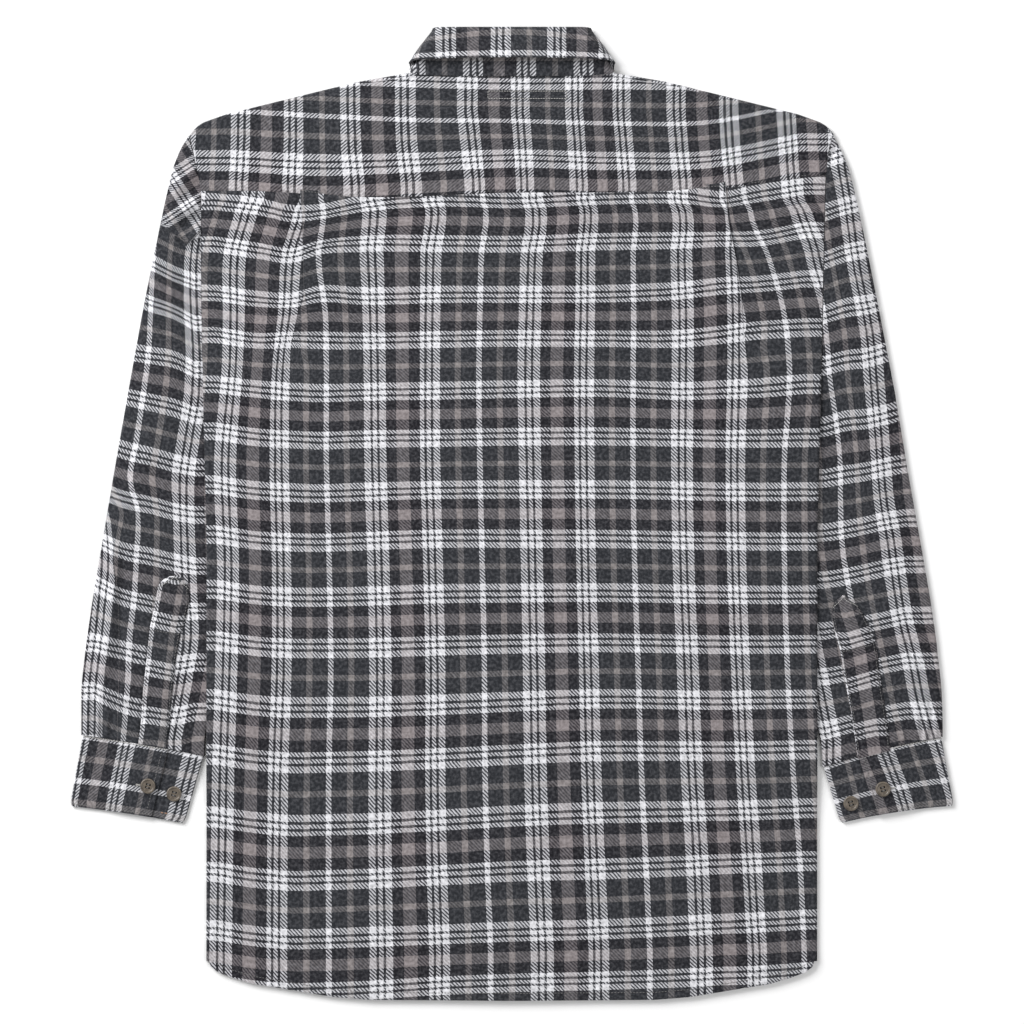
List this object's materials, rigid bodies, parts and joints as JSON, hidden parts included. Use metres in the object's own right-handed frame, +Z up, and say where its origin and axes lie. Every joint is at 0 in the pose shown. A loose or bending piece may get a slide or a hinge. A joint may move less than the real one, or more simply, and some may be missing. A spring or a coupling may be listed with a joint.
{
  "type": "flannel shirt",
  "caption": "Long-sleeved plaid flannel shirt with a yoke, two back pleats, a turn-down collar and buttoned cuffs, laid flat on its front with the back up.",
  "frame": {"origin": "on the surface the shirt lies on, under the middle of the whole shirt", "axes": "+Y towards the collar, +X towards the sleeve at the right of the picture, +Z up, away from the surface"},
  "size_m": [0.813, 0.8952, 0.0174],
  "materials": {
    "flannel": "brushed twill, dark grey, white and taupe plaid",
    "buttons": "satin, grey-brown"
  },
  "bodies": {
    "root": {"back": "flannel", "yoke": "flannel", "front_left": "flannel", "front_right": "flannel", "front_placket": "flannel", "collar_stand": "flannel", "collar_leaf": "flannel", "sleeve_left": "flannel", "sleeve_placket_left": "flannel", "cuff_left": "flannel", "cuff_button_left_1": "buttons", "cuff_button_left_2": "buttons", "sleeve_right": "flannel", "sleeve_placket_right": "flannel", "cuff_right": "flannel", "cuff_button_right_1": "buttons", "cuff_button_right_2": "buttons", "front_button_1": "buttons", "front_button_2": "buttons", "front_button_3": "buttons", "front_button_4": "buttons", "front_button_5": "buttons", "front_button_6": "buttons", "front_button_7": "buttons", "collar_button": "buttons"}
  },
  "joints": []
}
